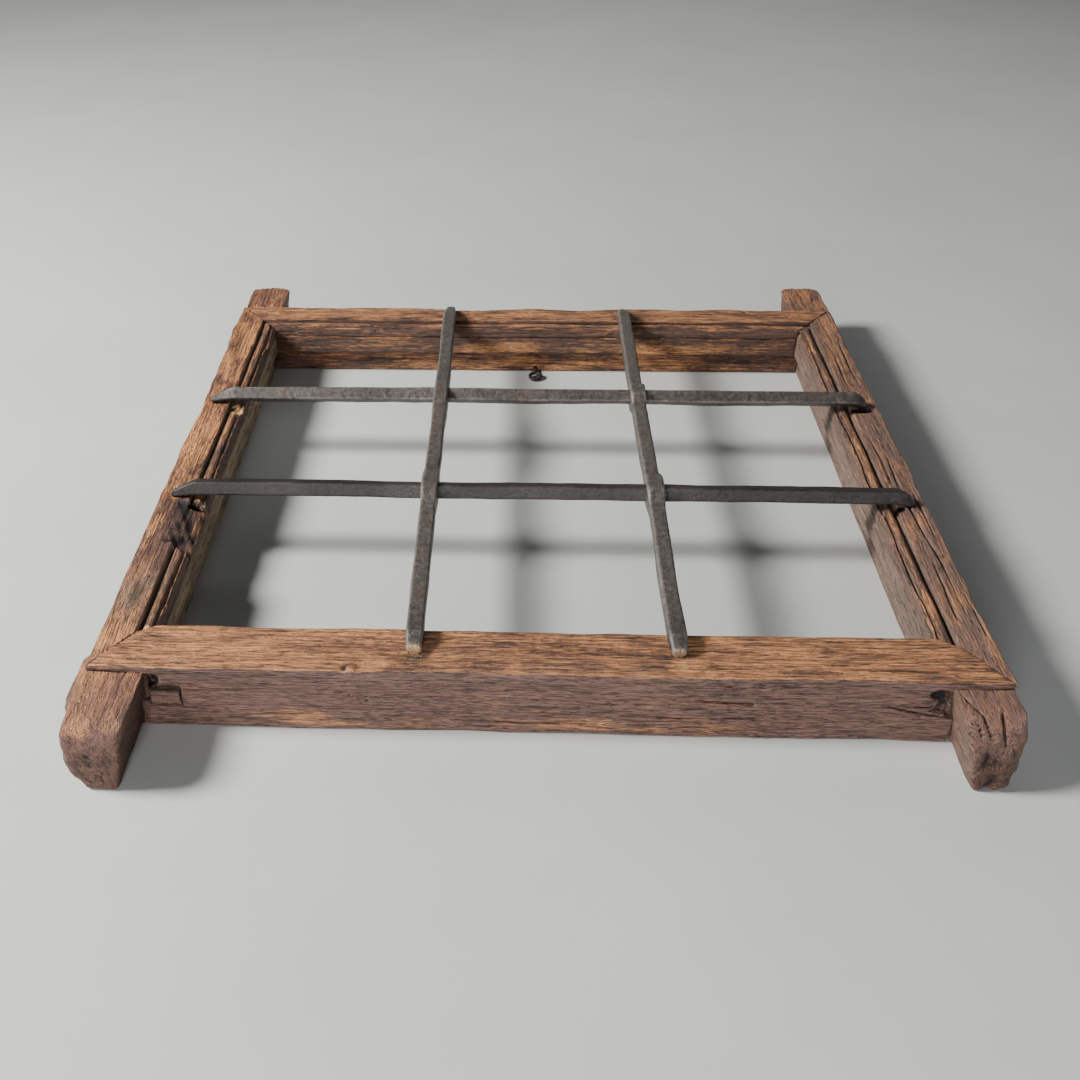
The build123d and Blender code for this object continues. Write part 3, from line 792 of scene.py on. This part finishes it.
def patch():
    """The block let into the front rail, a little shrunk in its recess."""
    f = Field(patch_low, patch_high, (0.8, 0.8, 0.8))
    f.value = f.box((patch_low.x + 0.4, patch_high.x - 0.4), (patch_low.y, patch_high.y + 0.5),
                    (patch_low.z + 0.2, patch_high.z))
    f.value = smooth_max(f.value, (f.z - patch_high.z) - (f.x - patch_low.x) * 0.08, 1.5)
    f.rough(((20, 4, 2), 0.5, 91), ((4, 3, 1.5), 0.25, 92))
    return f


def strip_section(across, up, crown):
    """Distance from the strip's section: a round bead, a quirk and a small slope."""
    bead = np.hypot(across - BEAD_R, up - crown + BEAD_R) - BEAD_R
    bead = np.minimum(bead, both(np.abs(across - BEAD_R) - BEAD_R, up - crown + BEAD_R))
    slope = both(QUIRK_END - across, (across - QUIRK_END) * 0.7 + (up - SLOPE_Z) * 0.7)
    section = np.minimum(np.minimum(bead, slope), up - QUIRK_Z)
    return smooth_max(both(section, -up + 0.3), across - STRIP_WIDE, 1.2)


def side_strip(side, low_y, high_y, seed):
    """A moulded strip beside a stile, with broken ends where the left one is lost."""
    f = Field((IN_X, low_y, SEAT_Z), (STRIP_X, high_y, HEIGHT),
              (STRIP_FINE, STRIP_LONG, STRIP_FINE))
    across = STRIP_X - f.x - 0.3 * drift(f.y, 40, seed)
    crown = 13.2 + 0.4 * drift(f.y, 50, seed + 1)
    f.value = strip_section(across, f.z - SEAT_Z, crown)
    f.keep((f.y - f.x - (IN_Y - IN_X)) * DIAGONAL + 0.2, 0.8)
    f.keep((front_mitre(f.x) - f.y) * 0.8 + 0.3, 0.8)
    ragged = 3.0 * drift(f.x * 2.3 + f.z * 1.7, 2.2, seed + 2)
    if high_y < 0:
        f.keep(f.y - HOLLOW_FRONT + 4 + ragged - (f.x - STRIP_X) * 0.4, 1.0)
    elif side < 0:
        f.keep(HOLLOW_BACK + 4 + ragged + (f.x - STRIP_X) * 0.4 - f.y, 1.0)
        f.cut(f.ball((IN_X + 4, 80, CROWN_Z + 1), (10, 9, 7)), 1.0)
        f.rough(((2, 4, 2), 1.2, seed + 8), where=near(f.y, 80, 14))
    chipped = step_up(drift(f.y, 21, seed + 6), 0.2, 0.7) + 0.25
    f.rough(((3, 9, 3), 0.6, seed + 3), ((1.8, 4, 1.8), 0.4, seed + 4),
            where=(step_up(f.x, IN_X + 5, IN_X) + 0.15) * chipped)
    f.rough(((3, 40, 3), 0.35, seed + 5))
    return f


def back_strip(seed):
    """The moulded strip along the back rail."""
    f = Field((-STRIP_X, IN_Y, SEAT_Z), (STRIP_X, STRIP_Y, HEIGHT),
              (STRIP_LONG, STRIP_FINE, STRIP_FINE))
    across = STRIP_Y - f.y - 0.3 * drift(f.x, 40, seed)
    crown = 13.2 + 0.5 * drift(f.x, 50, seed + 1)
    f.value = strip_section(across, f.z - SEAT_Z, crown)
    f.keep((np.abs(f.x) - f.y - (IN_X - IN_Y)) * DIAGONAL + 0.2, 0.8)
    chipped = step_up(drift(f.x, 21, seed + 6), 0.2, 0.7) + 0.25
    f.rough(((9, 3, 3), 0.6, seed + 3), ((4, 1.8, 1.8), 0.4, seed + 4),
            where=(step_up(f.y, IN_Y + 5, IN_Y) + 0.15) * chipped)
    f.rough(((40, 3, 3), 0.35, seed + 5))
    return f


def peg_distance(f, x, y, radius):
    """Distance from an upright cylinder that ends just above the top of the pegs."""
    return both(np.hypot(f.x - x, f.y - y) - radius, f.z - PEG_TOP - 1)


def peg(node, seed):
    """A whittled peg with eight uneven flats."""
    low, high = box_mm(node)
    x, y = (low.x + high.x) / 2, (low.y + high.y) / 2
    f = Field(low, high, (0.7, 0.7, 1.4))
    rng = np.random.default_rng(seed)
    f.value = both(low.z - 0.2 - f.z, f.z - high.z)
    flats = 8
    for turn in range(flats):
        angle = (turn + rng.uniform(-0.25, 0.25)) * math.tau / flats
        reach = PEG_R - 0.1 + rng.uniform(-0.25, 0.1)
        f.keep((f.x - x) * math.cos(angle) + (f.y - y) * math.sin(angle) - reach, 0.8)
    f.rough(((2, 2, 12), 0.25, seed), ((1.5, 1.5, 1.5), 0.15, seed + 1))
    return f


# ---- the iron ----


def rolled(y, z, roll):
    """Y and Z turned about X."""
    return y * math.cos(roll) + z * math.sin(roll), z * math.cos(roll) - y * math.sin(roll)


def half_height(roll):
    """Half the height of the rolled square bar."""
    return BAR / 2 * (abs(math.sin(roll)) + abs(math.cos(roll)))


def forge_marks(along, seed):
    """Fine relief of hammered iron, as layers of size, amount and seed."""
    return ((grain_size(along, 11, 22), 0.28, seed), (grain_size(along, 5, 9), 0.12, seed + 1),
            ((2.4, 2.4, 2.4), 0.05, seed + 2))


def painted_shade(amount):
    """A mask of painted shade for a cross bar: dark at its ends and by an amount along it."""
    def tint(points, normals):
        x = points[:, 0]
        along = amount + 0.2 * drift(x, 60, 333)
        return {"dark": np.clip(np.maximum(along, step_up(np.abs(x), 318, 342)), 0, 1)}
    return tint


def rubbed_tip(points, normals):
    """Masks for a long bar: rubbed and splintered at its front end, soiled towards it."""
    y = points[:, 1]
    return {"fresh": 0.75 * step_up(y, -296, -314), "dark": 0.4 * step_up(y, -240, -300)}


def cross_bar(node, roll, seed):
    """A square bar on edge or tilted, pointed at its left end and hooked down at its right."""
    low, high = box_mm(node)
    y = middle_mm(node).y
    f = Field((low.x - 2, y - 13, TANG_FLOOR), (high.x + 2, y + 13, HEIGHT + 22),
              (BAR_LONG, BAR_FINE, BAR_FINE))
    left = step_up(f.x, -320, -354)
    right = step_up(f.x, 330, 351)
    thinned = 1 - 0.60 * left - 0.30 * right
    half = BAR / 2 * thinned + 0.25 * drift(f.x, 30, seed)
    middle_z = HEIGHT + half_height(roll) * thinned - 4.5 * right - 1.0 * left
    middle_z = middle_z + 0.5 * drift(f.x, 90, seed + 1)
    middle_y = y - 3.0 * left - 1.5 * right + 0.6 * drift(f.x, 110, seed + 2)
    a, b = rolled(f.y - middle_y, f.z - middle_z, roll)
    f.value = smooth_max(np.abs(a) - half, np.abs(b) - half, 1.8)
    f.keep(low.x - 1 - f.x, 2.0)
    f.keep(f.x - high.x + 0.5, 6.0)
    for x in (-TANG_X, TANG_X):
        f.spike(x, y)
    return f


def long_bar(node, eyes, seed):
    """A bar with two swelled eyes that the cross bars pass through, drawn down at both ends."""
    low, high = box_mm(node)
    x = (low.x + high.x) / 2
    f = Field((low.x - 2, low.y - 2, TANG_FLOOR), (high.x + 2, high.y + 2, high.z + 2),
              (BAR_FINE, BAR_LONG, BAR_FINE))
    swell, widening = 0, 0
    for y, (reach, wider) in zip((BACK_BAR, FRONT_BAR), eyes):
        here = step_up(np.abs(f.y - y), reach, 9)
        swell, widening = swell + here, widening + wider * here
    front = step_up(f.y, -292, low.y - 3)
    back = step_up(f.y, 292, high.y)
    wide = 7.25 + widening - 1.3 * front - 2.0 * back + 0.25 * drift(f.y, 28, seed)
    top = HEIGHT + BAR + 7.2 * swell - 6.0 * front - 8.0 * back + 0.3 * drift(f.y, 60, seed + 1)
    bottom = HEIGHT - 2.4 * swell
    beside = np.abs(f.x - x - 0.7 * drift(f.y, 120, seed + 2)) - wide
    above = np.abs(f.z - (top + bottom) / 2) - (top - bottom) / 2
    f.value = smooth_max(beside, above, 3.0)
    f.keep(low.y - f.y, 2.0)
    f.keep(f.y - high.y, 3.0)
    for y, roll in ((BACK_BAR, BACK_ROLL), (FRONT_BAR, FRONT_ROLL)):
        a, b = rolled(f.y - y, f.z - HEIGHT - half_height(roll), roll)
        f.cut(both(np.abs(a), np.abs(b)) - BAR / 2 - 0.7)
    for y in (low.y + TANG / 2, high.y - TANG / 2):
        f.spike(x, y)
    return f


def latch_eye():
    """An eye of wire, almost flat, on a shank driven low into the back rail."""
    low, high = box_mm("latch_eye")
    f = Field(low, high, (0.4, 0.4, 0.4))
    flat, steep = LATCH_RING * math.cos(LATCH_TILT), LATCH_RING * math.sin(LATCH_TILT)
    ring_x, ring_y = (low.x + high.x) / 2, low.y + LATCH_WIRE + flat
    ring_z = low.z + LATCH_WIRE + steep
    away, up = f.y - ring_y, f.z - ring_z
    along, lift = rolled(away, up, LATCH_TILT)
    ring = np.hypot(np.hypot(f.x - ring_x, along) - LATCH_RING, lift) - LATCH_WIRE
    shank = np.hypot(f.x - ring_x, f.z - ring_z - steep) - 1.8
    f.value = np.minimum(ring, both(shank, ring_y + flat - f.y, f.y - high.y))
    f.rough(((4, 4, 4), 0.15, 95))
    return f


# ---- building ----

stile_wood = wood("stile_wood", "Y", (PITH[1][0], 0, PITH[1][1]), OLIVE)
left_wood_painted_lighter = wood("left_stile_wood_painted_lighter", "Y", (-PITH[-1][0], 0, PITH[-1][1]), OLIVE_PAINTED_LIGHTER)
back_wood = wood("back_rail_wood", "X", (0, 260, 20), RED_BROWN, 0.05)
front_wood = wood("front_rail_wood", "X", (0, -270, 90), PLUM, 0.05)
strip_wood = wood("strip_wood", "Y", (335, 0, 20), OLIVE)
back_strip_wood = wood("back_strip_wood", "X", (0, 300, 20), RED_BROWN)
patch_wood = wood("patch_wood", "X", (0, -300, 20), PLUM, -0.1)
peg_wood = wood("peg_wood", "Z", (330, 300, 0), OLIVE)
bar_iron = iron("bar_iron")

# Local wear, stains and painted shade: a mask, the middle and the reach of the place, and an
# amount
# Rust stains and painted contact shade where the cross bars' ends lie on the stiles
BAR_STAINS_AND_SHADE = [("dark", (x, y, HEIGHT), (16, 13, 14), 0.55)
              for x in (-338, 338) for y in (BACK_BAR - 3, FRONT_BAR - 4)]
RIGHT_SPOTS = BAR_STAINS_AND_SHADE + [
    ("bare", (350, 0, HEIGHT), (14, 60, 12), -0.15),
    ("bare", (345, 215, HEIGHT), (20, 60, 12), 0.1),
    ("plain", (336, -355, LAP_Z), (40, 26, 30), 0.8),
    ("grey", (336, -355, LAP_Z), (40, 26, 20), 0.4),
    ("plain", (336, -384, 24), (40, 16, 30), -0.9),
    ("bare", (336, 375, LAP_Z), (40, 34, 20), 0.3),
    ("grey", (336, 375, LAP_Z), (40, 34, 20), -0.4)]
LEFT_SPOTS = BAR_STAINS_AND_SHADE + [
    ("bare", (-350, 20, HEIGHT), (16, 55, 14), 0.28),
    ("bare", (-340, 200, HEIGHT), (16, 60, 14), 0.2),
    ("bare", (-345, 296, HEIGHT), (20, 34, 12), 0.25),
    ("bare", (-332, -145, 58), (16, 48, 20), -0.45),
    ("bare", (-345, -300, HEIGHT), (18, 16, 8), 0.3),
    ("bare", (-352, -345, LAP_Z), (10, 18, 8), 0.6),
    ("dark", (-320, -130, 52), (13, 36, 16), 0.25),
    ("dark", (-341, -238, HEIGHT), (12, 28, 12), 0.55),
    ("dark", (-332, -140, HEIGHT), (19, 48, 18), 0.36),
    ("dark", (-332, -104, 56), (16, 13, 16), 0.3),
    ("dark", (-350, -350, 20), (40, 60, 26), 0.15),
    ("grey", (-343, -235, HEIGHT), (12, 24, 12), 0.9),
    ("grey", (-328, -125, 52), (16, 50, 16), -1.0),
    ("plain", (-345, -360, LAP_Z), (40, 34, 30), 1.0),
    ("plain", (-338, 375, LAP_Z), (40, 30, 30), 1.0),
    ("plain", (-345, -235, HEIGHT), (30, 50, 20), 0.6)]
BACK_SPOTS = [
    ("bare", (-230, 322, HEIGHT), (70, 16, 9), 0.15),
    ("bare", (-40, 279, 36), (60, 5, 8), 0.85),
    ("bare", (-190, 279, 38), (60, 5, 7), 0.35),
    ("bare", (150, 279, 35), (90, 5, 7), 0.75),
    ("bare", (-20, 287, 10), (200, 5, 14), 0.45),
    ("bare", (180, 287, 10), (70, 5, 9), 0.3),
    ("dark", (98, 300, 58), (7, 26, 14), 0.6),
    ("dark", (-190, 281, 52), (120, 4, 12), 0.3),
    ("dark", (255, 287, 14), (40, 5, 10), 0.35),
    ("dark", (-270, 283, 20), (50, 9, 26), 0.25)]
FRONT_SPOTS = [
    ("bare", (-235, -305, HEIGHT), (75, 24, 8), 0.16),
    ("bare", (-20, -310, HEIGHT), (90, 30, 8), -0.16),
    ("bare", (112, -315, HEIGHT), (10, 10, 6), 0.9),
    ("bare", (-190, -331, 12), (45, 8, 12), 0.55),
    ("bare", (60, -331, 10), (120, 8, 9), 0.45),
    ("bare", (310, -331, 52), (8, 9, 6), 0.6),
    ("bare", (30, -331, 34), (180, 6, 24), 0.12),
    # Painted shade in the hollow above the let-in block and in the knot hole at the right
    ("dark", (-307, -326, 46), (15, 14, 9), 1.0),
    ("dark", (307, -326, 44), (16, 14, 14), 0.95),
    ("dark", (-150, -324, HEIGHT), (13, 9, 8), 0.45),
    # Stain and painted contact shade round the front tips of the long bars
    ("dark", (-99, -308, HEIGHT), (14, 11, 7), 0.7),
    ("dark", (98, -306, HEIGHT), (8, 14, 7), 0.6),
    ("dark", (-145, -331, 34), (12, 5, 8), 0.35),
    ("fresh", (-148, -327, HEIGHT - 2), (4, 4, 3), 0.55),
    ("fresh", (109, -315, HEIGHT), (8, 10, 5), 0.5),
    ("fresh", (-101, -313, HEIGHT), (8, 5, 4), 0.42),
    ("grey", (30, -325, HEIGHT), (160, 10, 6), 0.5),
    ("plain", (0, -331, 30), (420, 6, 36), 0.45)]
BEAD_SPOTS = [("fresh", (x, IN_Y + 2, CROWN_Z), (reach, 3, 4), 0.32)
              for x, reach in ((-60, 40), (60, 30), (-230, 30), (200, 40))]
CHIP_SPOTS = [
    ("fresh", (-318, 78, CROWN_Z), (8, 13, 9), 0.95),
    ("fresh", (-322, -215, CROWN_Z), (3, 22, 4), 0.35),
    ("fresh", (-323, -281, CROWN_Z), (5, 5, 6), 0.8),
    ("dark", (-320, -130, CROWN_Z), (20, 60, 20), 0.35)]

piece("RightStile", stile(1, RIGHT_HORN, 11), ["stile_right"], stile_wood,
      layers=ridges("Y", 101), tint=wear(0.17, 0.8, RIGHT_SPOTS, 0.35, 0.7, horn_clean=0.6))
# The left stile's grey is painted lighter: painted light on its inner face, which the key lamp
# leaves in shade
piece("LeftStile", stile(-1, LEFT_HORN, 21), ["stile_left"], left_wood_painted_lighter,
      flip=(-1, 1, 1), layers=ridges("Y", 111),
      tint=wear(0.28, 1.0, LEFT_SPOTS, grey_out=0.06, horn_clean=0.9))
piece("BackRail", rail(1, 31), ["rail_back"], back_wood,
      layers=ridges("X", 121), tint=wear(0.34, 0.25, BACK_SPOTS))
piece("FrontRail", rail(-1, 41), ["rail_front"], front_wood,
      flip=(1, -1, 1), layers=ridges("X", 131), tint=wear(0.38, 0.95, FRONT_SPOTS))
piece("Patch", patch(), ["patch_block"], patch_wood, tint=wear(0.5, 0.9))

for name, node, side, low_y, high_y, seed in (
        ("RightStrip", "strip_right", 1, STRIP_FRONT, STRIP_Y, 51),
        ("LeftBackStrip", "strip_left_back", -1, HOLLOW_BACK, STRIP_Y, 54),
        ("LeftFrontStrip", "strip_left_front", -1, STRIP_FRONT, HOLLOW_FRONT, 57)):
    piece(name, side_strip(side, low_y, high_y, seed), [node], strip_wood,
          flip=(side, 1, 1), layers=ridges("Y", seed + 90, 0.7),
          tint=wear(0.22, 0.5, CHIP_SPOTS, grey_top=0.3))
piece("BackStrip", back_strip(61), ["strip_back"], back_strip_wood,
      layers=ridges("X", 151, 0.7), tint=wear(0.3, 0.3, BEAD_SPOTS))

for i, node in enumerate(("peg_front_left", "peg_front_right", "peg_back_left", "peg_back_right")):
    piece("Peg." + node[4:], peg(node, 200 + i), [node], peg_wood, tint=wear(0.3, 0.5))

# Painted shade darkens the cross bars, the front one almost wholly
for name, node, roll, seed, shade_amount in (("BackCrossBar", "bar_cross_back", BACK_ROLL, 301, 0.22),
                                     ("FrontCrossBar", "bar_cross_front", FRONT_ROLL, 321, 0.92)):
    piece(name, cross_bar(node, roll, seed), [node], bar_iron,
          layers=forge_marks("X", seed + 10), tint=painted_shade(shade_amount))
for name, node, eyes, seed in (("LeftLongBar", "bar_long_left", ((75, 0.2), (38, 0.7)), 341),
                               ("RightLongBar", "bar_long_right", ((24, 1.4), (32, 1.2)), 361)):
    piece(name, long_bar(node, eyes, seed), [node], bar_iron,
          layers=forge_marks("Y", seed + 10), tint=rubbed_tip)
# Painted shade darkens the latch eye all over
piece("LatchEye", latch_eye(), ["latch_eye"], bar_iron, tint=painted_shade(0.92))

# The brads keep their CAD meshes
for node in ("brads_right", "brads_back", "brads_left_back", "brads_left_front"):
    for material_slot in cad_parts[node].material_slots:
        material_slot.material = bar_iron

# ---- floor, light, camera ----


def floor():
    """The plain pale floor."""
    reach = 9.0
    mesh = bpy.data.meshes.new("Floor")
    corners = [(-reach, -reach, 0), (reach, -reach, 0), (reach, reach, 0), (-reach, reach, 0)]
    mesh.from_pydata(corners, [], [(0, 1, 2, 3)])
    ground = bpy.data.objects.new("Floor", mesh)
    bpy.context.scene.collection.objects.link(ground)
    n = Nodes("floor")
    patchy = n.noise(n.scaled(n.node("TexCoord", output=3), (260, 260, 260)), 4.0, 0.6)
    n.put(n.shader.inputs["Base Color"],
          n.mix(patchy, colour(186, 191, 189), colour(204, 207, 204)))
    n.shader.inputs["Roughness"].default_value = 0.85
    mesh.materials.append(n.material)


def area_light(name, place, target, size, power, warmth=(1.0, 1.0, 1.0)):
    """A round lamp that faces the target, with its power in watts."""
    lamp = bpy.data.lights.new(name, "AREA")
    lamp.shape = "DISK"
    lamp.size = size
    lamp.energy = power
    lamp.color = warmth
    thing = bpy.data.objects.new(name, lamp)
    thing.location = place
    thing.rotation_euler = (Vector(target) - Vector(place)).to_track_quat("-Z", "Y").to_euler()
    bpy.context.scene.collection.objects.link(thing)


def camera():
    """In front, about a metre away and high, looking down. Angles are in radians."""
    place = (-0.02886, -0.98474, 0.67231)
    pitch, yaw, roll = 0.63257, -0.053845, -0.017418
    flat = math.cos(pitch)
    forward = Vector((math.sin(yaw) * flat, math.cos(yaw) * flat, -math.sin(pitch)))
    level = Vector((math.cos(yaw), -math.sin(yaw), 0))
    upward = level.cross(forward)
    right = math.cos(roll) * level + math.sin(roll) * upward
    up = -math.sin(roll) * level + math.cos(roll) * upward
    data = bpy.data.cameras.new("Camera")
    data.sensor_width, data.lens = 36.0, 38.33
    data.shift_x = 0.0769
    thing = bpy.data.objects.new("Camera", data)
    turn = Matrix((right, up, -forward)).transposed().to_4x4()
    thing.matrix_world = Matrix.Translation(place) @ turn
    bpy.context.scene.collection.objects.link(thing)
    bpy.context.scene.camera = thing


def surroundings(strength):
    """Faint even light from all round."""
    world = bpy.data.worlds.new("World")
    bpy.context.scene.world = world
    world.use_nodes = True
    background = world.node_tree.nodes["Background"]
    background.inputs["Color"].default_value = (0.96, 0.98, 1.0, 1.0)
    background.inputs["Strength"].default_value = strength


floor()
area_light("Key", (-2.3, -0.3, 1.75), (0, 0, 0), 0.8, 184, (1.0, 0.97, 0.93))
area_light("Front", (-0.3, -2.4, 0.38), (0, 0, 0.03), 0.7, 52)
area_light("Back", (0.3, 2.4, 1.9), (0, 0, 0), 1.6, 10)
area_light("Fill", (2.4, 0.1, 0.4), (-0.3, 0, 0.04), 0.6, 9)
surroundings(0.035)
camera()
